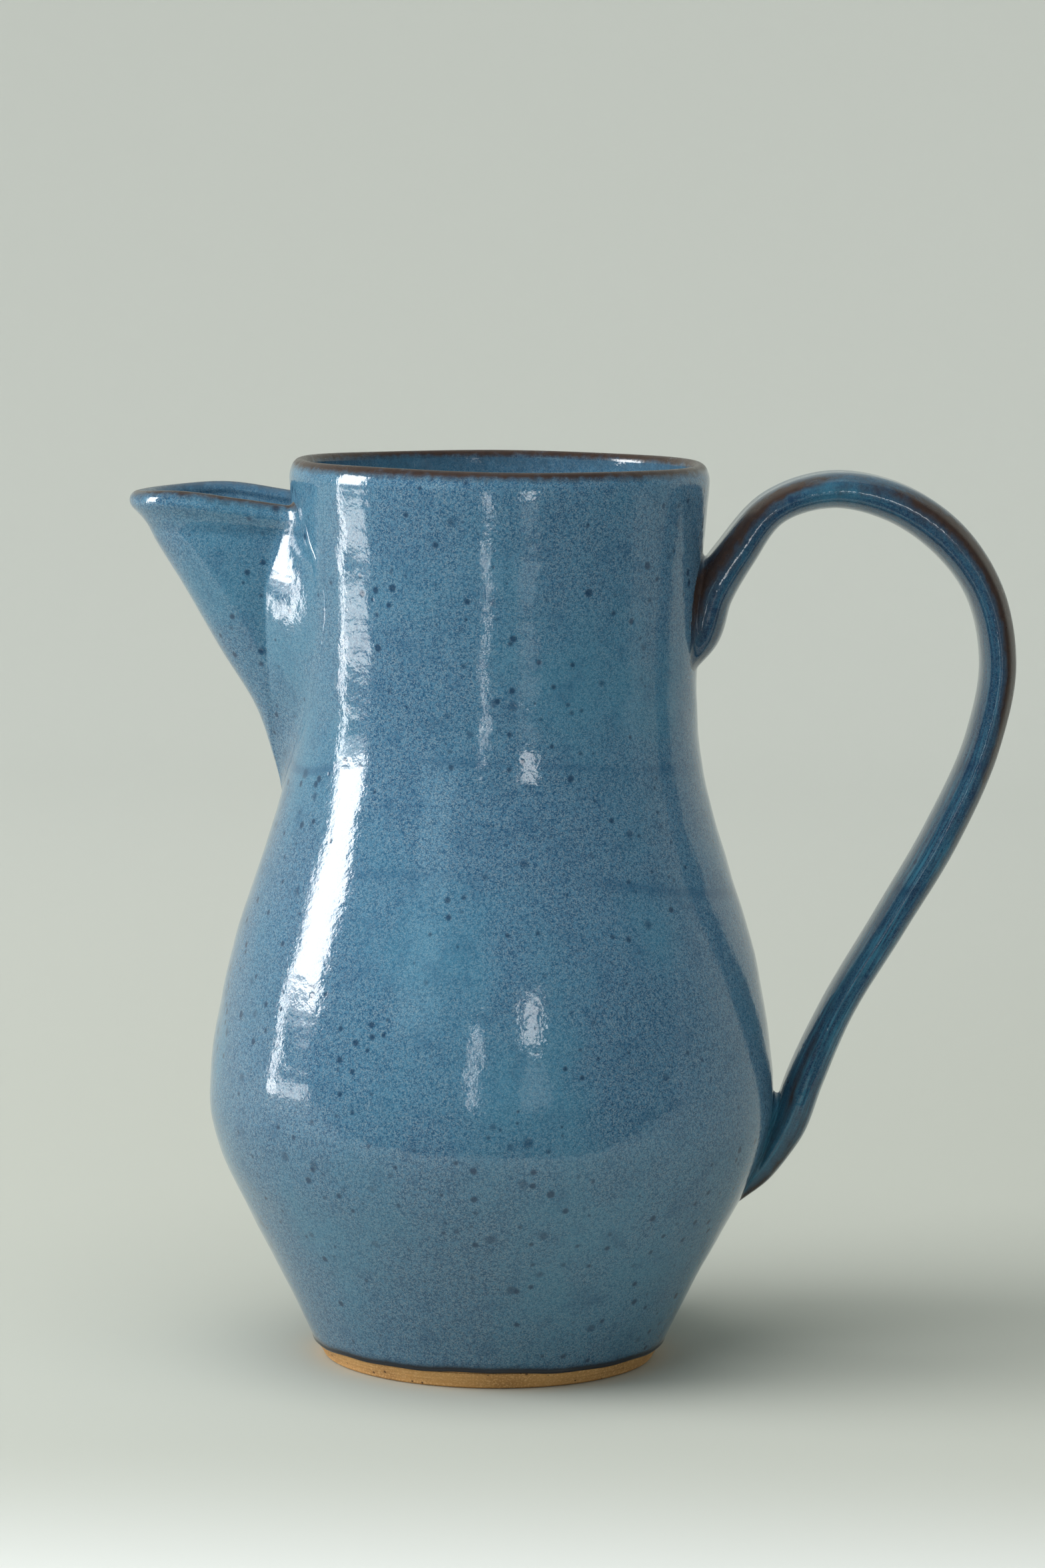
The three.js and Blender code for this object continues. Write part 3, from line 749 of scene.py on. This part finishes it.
def glaze_material(name, deep, mid, pale, turquoise, streaks=0.0):
    """Floating blue: fine grey and blue mottling, dark and rust specks, brown where it runs thin."""
    material, nodes = new_material(name)
    place = nodes.place()
    squash = (1.0, 1.0, 0.35 if streaks else 0.8)
    stretched = nodes.add("ShaderNodeMapping", Vector=place, Scale=squash).outputs[0]

    clouds = nodes.noise(stretched, 22, 3, 0.55)
    patches = nodes.noise(place, 130, 3, 0.6)
    mottle = nodes.noise(place, 1250, 3, 0.7)
    grains = nodes.noise(place, 2900, 2, 0.6)
    colour = nodes.mix(nodes.ramp(mottle, 0.41, 0.59), deep, mid)
    colour = nodes.mix(nodes.times(nodes.ramp(grains, 0.45, 0.66), 0.9), colour, pale)
    colour = nodes.mix(nodes.times(nodes.ramp(clouds, 0.45, 0.7), 0.45), colour, turquoise)
    colour = nodes.mix(nodes.times(nodes.ramp(patches, 0.5, 0.78), 0.4), colour, deep)
    if streaks:
        run = nodes.mask("run")
        drawn = nodes.add("ShaderNodeCombineXYZ", X=nodes.mask("girth"), Y=nodes.times(run, 0.09)).outputs[0]
        lines = nodes.ramp(nodes.noise(drawn, 620, 4, 0.65), 0.42, 0.7)
        beyond_root = nodes.ramp(run, 0.1, 0.2, 0.35 * streaks, streaks)
        colour = nodes.mix(nodes.times(lines, beyond_root), colour, turquoise)
    colour = nodes.mix(overlap_lines(nodes, place), colour, deep)

    crowd = nodes.ramp(nodes.noise(place, 26, 2, 0.5), 0.35, 0.62, 0.35, 1.0)
    speck = nodes.spots(place, 260.0, 0.1, 0.31, (-0.05, 0.13), crowd=crowd)
    blot = nodes.spots(place, 135.0, 0.35, 0.22, (-0.07, 0.09), channel=1, crowd=crowd)
    rust = nodes.spots(place, 62.0, 0.93, 0.055, (-0.006, 0.006), channel=1)
    colour = nodes.mix(nodes.times(speck, 0.8), colour, SPECK_BLUE)
    colour = nodes.mix(nodes.times(blot, 0.6), colour, BLOT_BLUE)
    colour = nodes.mix(rust, colour, RUST)

    ragged = nodes.times(nodes.math("SUBTRACT", nodes.noise(stretched, 420, 3, 0.6), 0.5), 0.9)
    edge = nodes.math("ADD", nodes.mask("break"), ragged)
    thin = nodes.ramp(edge, 0.4, 1.0)
    brown = nodes.mix(nodes.noise(place, 700, 2, 0.5), *BREAK_BROWNS)
    greyed = nodes.mix(nodes.ramp(edge, 0.12, 0.5, 0, 0.5), colour, BREAK_GREY)
    colour = nodes.mix(thin, greyed, brown)

    pool = nodes.mask("pool")
    pooled = nodes.ramp(nodes.math("ADD", pool, nodes.times(ragged, 0.3)), 0.3, 0.85)
    thickest = nodes.ramp(nodes.math("ADD", pool, nodes.times(ragged, 0.12)), 0.6, 0.82)
    colour = nodes.mix(nodes.times(pooled, 0.6), colour, POOLED_BLUE)
    colour = nodes.mix(thickest, colour, POOLED_BLACK)
    colour = nodes.mix(nodes.times(nodes.mask("inside"), 0.4), colour, mid)

    roughness = nodes.ramp(nodes.noise(place, 160, 2, 0.5), 0.3, 0.7, 0.05, 0.1)
    roughness = nodes.math("ADD", roughness, nodes.times(thin, 0.22))
    peel = nodes.noise(place, 420, 2, 0.5)
    pits = nodes.noise(place, 1600, 2, 0.5)
    height = nodes.math("ADD", peel, nodes.times(pits, 0.22))
    height = nodes.math("SUBTRACT", height, nodes.times(speck, 0.25))
    bump = nodes.add("ShaderNodeBump", Height=height, Strength=0.4, Distance=0.0002).outputs[0]
    nodes.surface(Base_Color=colour, Roughness=roughness, IOR=1.52, Normal=bump)
    return material


def overlap_lines(nodes, place):
    """Where one dip of glaze ends over another: two faint darker lines, nearly level."""
    height = nodes.add("ShaderNodeSeparateXYZ", Vector=place)
    wander = nodes.times(nodes.math("SUBTRACT", nodes.noise(place, 9, 1), 0.5), 0.03)
    at = nodes.math("ADD", height.outputs[2], wander)
    total = None
    for level, strength in OVERLAPS:
        away = nodes.math("ABSOLUTE", nodes.math("SUBTRACT", at, level))
        line = nodes.ramp(away, 0.0, 0.0022, strength, 0.0)
        total = line if total is None else nodes.math("ADD", total, line)
    gaps = nodes.ramp(nodes.noise(place, 18, 2), 0.4, 0.6)
    return nodes.times(total, gaps)


def clay_material():
    """Bare fired stoneware: toasted buff with iron specks and fine throwing grit."""
    material, nodes = new_material("bare_clay")
    place = nodes.place()
    toast = nodes.ramp(nodes.noise(place, 45, 3, 0.6), 0.35, 0.7)
    grit = nodes.ramp(nodes.noise(place, 1900, 2, 0.6), 0.5, 0.62)
    speck = nodes.spots(place, 700.0, 0.8, 0.3, (-0.02, 0.05))
    colour = nodes.mix(toast, *TOASTED_BUFF)
    colour = nodes.mix(nodes.times(grit, 0.65), colour, PALE_GRIT)
    colour = nodes.mix(nodes.times(speck, 0.8), colour, IRON_SPECK)
    coarse = nodes.noise(place, 900, 4, 0.7)
    bump = nodes.add("ShaderNodeBump", Height=coarse, Strength=0.7, Distance=0.00025).outputs[0]
    nodes.surface(Base_Color=colour, Roughness=0.82, Normal=bump)
    return material


# ---------------------------------------------------------------------------------------------------
# Studio
# ---------------------------------------------------------------------------------------------------

# The paper's colours paint light and shade: painted lit in front, painted shade round and behind the pitcher,
# painted lighter on the wall.
PAPER_PAINTED_LIT_FRONT = (0.88, 0.9, 0.885)
PAPER_PAINTED_SHADE_BEHIND = (0.5, 0.515, 0.46)
PAPER_PAINTED_LIGHTER_WALL = (0.7, 0.715, 0.665)
# the colour of the painted shade that reflections see in place of the unlit room
PAINTED_ROOM_SHADE = (0.03, 0.032, 0.035)
ROOM_EDGE = -0.235  # how near the dark room comes to the pitcher
PANES = 12  # the gaps between the slats of a blind
PANE_STEP = 0.0125
PANE_HEIGHT = 0.0045
LOWEST_PANE = 0.085
CAMERA_PLACE = (-0.003, -1.3321, 0.3129)
CAMERA_LENS = 115.77
CAMERA_PITCH = math.radians(6.812)  # downwards
CAMERA_YAW = math.radians(0.436)  # to the right
CAMERA_ROLL = math.radians(0.775)


def stage_sheet(name, points, faces, material_name, colour, roughness):
    """One sheet of the set. colour lays out its nodes, or is a plain colour."""
    mesh = bpy.data.meshes.new(name)
    mesh.from_pydata(np.asarray(points, float).tolist(), [], faces)
    shade_smooth(mesh)
    sheet = bpy.data.objects.new(name, mesh)
    bpy.context.scene.collection.objects.link(sheet)
    material, nodes = new_material(material_name)
    nodes.surface(Base_Color=colour(nodes) if callable(colour) else colour, Roughness=roughness)
    mesh.materials.append(material)
    return sheet


def paper_painted_light_colour(nodes):
    """Pale paper with painted light and shade: painted white and lit in front of the pitcher, painted shade
    greyest round it, and painted a little lighter on the wall.
    """
    parts = nodes.add("ShaderNodeSeparateXYZ", Vector=nodes.place())
    front = nodes.ramp(parts.outputs[1], -0.34, -0.1, 1.0, 0.0)
    wall = nodes.ramp(parts.outputs[1], 0.1, 1.5)
    behind = nodes.mix(wall, PAPER_PAINTED_SHADE_BEHIND, PAPER_PAINTED_LIGHTER_WALL)
    return nodes.mix(front, behind, PAPER_PAINTED_LIT_FRONT)


def build_floor():
    """A round floor that sweeps up into a wall everywhere but in front."""
    bend = 1.3
    flat = np.linspace(0.02, bend, 12)
    turns = np.linspace(0, np.pi / 2, 25)
    back_reach = np.concatenate([flat, bend + bend * np.sin(turns)[1:], [2 * bend] * 4])
    back_rise = np.concatenate([0 * flat, bend * (1 - np.cos(turns))[1:], bend + np.linspace(0.5, 3, 4)])
    front_reach = np.concatenate([flat, np.linspace(bend, 8, 29)[1:]])
    around = np.linspace(0, 2 * np.pi, 96, endpoint=False)
    share = np.clip((np.cos(around) + 0.25) / 0.5, 0, 1)
    share = share * share * (3 - 2 * share)
    reach = front_reach[:, None] + (back_reach - front_reach)[:, None] * share
    rise = back_rise[:, None] * share
    points = np.stack([reach * np.sin(around), reach * np.cos(around), rise], -1).reshape(-1, 3)
    faces = grid_faces(len(back_reach), len(around)).tolist()
    faces.append(list(range(len(around)))[::-1])
    stage_sheet("floor", points, faces, "paper", paper_painted_light_colour, 0.95)


def build_dark_room():
    """The room in front of the table is dark: this sheet is painted shade standing in for the unlit room, and
    only reflections see it.
    """
    half = 8.0
    plan = [(-half, -half), (half, -half), (half, ROOM_EDGE), (-half, ROOM_EDGE)]
    corners = [(x, y, 0.001) for x, y in plan]
    room = stage_sheet("dark_room", corners, [(0, 1, 2, 3)], "dark_room", PAINTED_ROOM_SHADE, 0.9)
    room.visible_camera = False
    room.visible_diffuse = False
    room.visible_shadow = False
    room.visible_transmission = False


def window(name, azimuth, distance, low, high, width, radiance, tint=(1.0, 1.0, 1.0)):
    """An upright soft light that only reflections see. azimuth is in degrees from the front,
    positive to the right."""
    turn = math.radians(azimuth)
    data = bpy.data.lights.new(name, "AREA")
    data.shape = "RECTANGLE"
    data.size = width
    data.size_y = high - low
    data.energy = radiance * math.pi * width * (high - low)
    data.color = tint
    light = bpy.data.objects.new(name, data)
    place = Vector((distance * math.sin(turn), -distance * math.cos(turn), (low + high) / 2))
    light.location = place
    light.rotation_euler = Vector((place.x, place.y, 0)).to_track_quat("Z", "Y").to_euler()
    light.visible_camera = False
    light.visible_diffuse = False
    bpy.context.scene.collection.objects.link(light)


def soft_light(name, place, size, watts):
    """A large soft light that faces the pitcher and that reflections don't see."""
    data = bpy.data.lights.new(name, "AREA")
    data.shape = "DISK"
    data.size = size
    data.energy = watts
    light = bpy.data.objects.new(name, data)
    light.location = place
    light.rotation_euler = (Vector(place) - Vector((0, 0, 0.1))).to_track_quat("Z", "Y").to_euler()
    light.visible_camera = False
    light.visible_glossy = False
    bpy.context.scene.collection.objects.link(light)


def build_lights():
    window("window_frame", -96, 0.9, 0.01, 0.62, 0.05, 12)
    window("window_low", -86, 0.9, 0.01, 0.085, 0.28, 5.5)
    window("window_middle", -86, 0.9, 0.175, 0.235, 0.28, 3)
    window("window_high", -86, 0.9, 0.235, 0.62, 0.27, 18)
    for pane in range(PANES):
        low = LOWEST_PANE + PANE_STEP * pane
        window(f"blind_{pane}", -7, 0.6, low, low + PANE_HEIGHT, 0.033, 14)
    window("door_low", 16, 0.6, 0.085, 0.16, 0.1, 0.8)
    window("door_high", 16, 0.6, 0.2, 0.262, 0.072, 7)
    window("sky_patch", -32, 0.9, 0.26, 0.6, 0.28, 0.9, (0.55, 0.9, 1.0))
    soft_light("ceiling", (-0.3, -0.5, 2.3), 2.2, 32)
    soft_light("daylight", (-1.5, -0.35, 0.9), 1.3, 24)


def build_world():
    """Pale all round for the eye and for fill; reflections see the paper behind and a dark room in front."""
    world = bpy.data.worlds.new("studio")
    world.use_nodes = True
    world.node_tree.nodes.clear()
    nodes = Nodes(world.node_tree)
    direction = nodes.add("ShaderNodeTexCoord").outputs["Generated"]
    parts = nodes.add("ShaderNodeSeparateXYZ", Vector=direction)
    sideways = nodes.math("ABSOLUTE", parts.outputs[0])
    behind = nodes.math("SUBTRACT", parts.outputs[1], nodes.times(sideways, 1.25))
    paper = nodes.ramp(behind, -0.05, 0.05)
    pale = nodes.ramp(parts.outputs[2], -0.1, 0.5)
    backdrop = nodes.mix(pale, (0.34, 0.35, 0.33), (0.39, 0.425, 0.43))
    seen = nodes.mix(paper, (0.045, 0.05, 0.056), (0.5, 0.525, 0.5))
    glossy = nodes.add("ShaderNodeLightPath").outputs["Is Glossy Ray"]
    colour = nodes.mix(glossy, backdrop, seen)
    background = nodes.add("ShaderNodeBackground", Color=colour, Strength=1.0)
    nodes.add("ShaderNodeOutputWorld", Surface=background.outputs[0])
    bpy.context.scene.world = world


def build_camera():
    """A long lens 1.33 m away, a little above the pitcher."""
    data = bpy.data.cameras.new("camera")
    data.sensor_width = 36.0
    data.lens = CAMERA_LENS
    data.clip_end = 100
    camera = bpy.data.objects.new("camera", data)
    bpy.context.scene.collection.objects.link(camera)
    pitch, yaw, roll = CAMERA_PITCH, CAMERA_YAW, CAMERA_ROLL
    forward = Vector((math.sin(yaw) * math.cos(pitch), math.cos(yaw) * math.cos(pitch), -math.sin(pitch)))
    right = Vector((math.cos(yaw), -math.sin(yaw), 0))
    up = Vector((math.sin(yaw) * math.sin(pitch), math.cos(yaw) * math.sin(pitch), math.cos(pitch)))
    camera_x = right * math.cos(roll) + up * math.sin(roll)
    camera_y = up * math.cos(roll) - right * math.sin(roll)
    turn = Matrix((camera_x, camera_y, -forward)).transposed().to_4x4()
    camera.matrix_world = Matrix.Translation(CAMERA_PLACE) @ turn
    bpy.context.scene.camera = camera


# ---------------------------------------------------------------------------------------------------
# Assembly
# ---------------------------------------------------------------------------------------------------

body_glaze = glaze_material("floating_blue", **BODY_BLUES)
handle_glaze = glaze_material("floating_blue_handle", **HANDLE_BLUES, streaks=0.8)
clay = clay_material()

body = cut(build_body(), build_opening_cutter())
clear_mask_above(body, "pool", BODY_LOW + 2 * POOL_DEPTH)
body.data.materials.clear()
body.data.materials.append(body_glaze)
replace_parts(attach(body, BODY), "thrown_body")

foot = build_foot()
foot.data.materials.append(clay)
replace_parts(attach(foot, BODY), "turned_foot")

spout = build_spout()
spout.data.materials.append(body_glaze)
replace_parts(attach(spout, BODY), "spout", "spout_seam")

handle = build_handle()
handle.data.materials.append(handle_glaze)
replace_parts(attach(handle, BODY), "handle", "handle_upper_seam", "handle_lower_seam")

build_floor()
build_dark_room()
build_lights()
build_world()
build_camera()
bpy.context.scene.view_settings.view_transform = "Standard"
